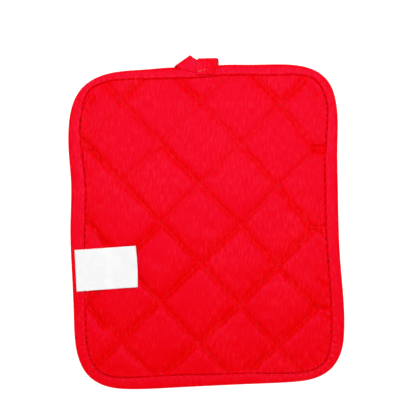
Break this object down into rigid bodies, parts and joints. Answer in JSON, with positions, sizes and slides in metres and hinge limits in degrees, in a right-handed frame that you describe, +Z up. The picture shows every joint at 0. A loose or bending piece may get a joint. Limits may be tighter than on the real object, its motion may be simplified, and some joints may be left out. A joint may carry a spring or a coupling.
{
  "type": "quilted pot holder",
  "caption": "Rounded rectangular quilted cloth pot holder with a bound edge, a tape hanging loop and a bare sewn-in label, lying flat on its back.",
  "frame": {"origin": "on the surface it lies on, under the middle of the whole thing with its loop", "axes": "+X across the holder, +Y towards the edge with the hanging loop, +Z up out of its face"},
  "size_m": [0.206, 0.2514, 0.0098],
  "materials": {
    "pad_cloth": "woven polyester, quilted over filling, matt with a slight sheen",
    "binding_tape": "woven polyester tape, folded and top-stitched",
    "loop_tape": "woven polyester tape, creased",
    "label_ribbon": "white satin ribbon, bare"
  },
  "bodies": {
    "root": {"quilted_pad": "pad_cloth", "edge_binding": "binding_tape", "hanging_loop": "loop_tape", "side_label": "label_ribbon"}
  },
  "joints": []
}
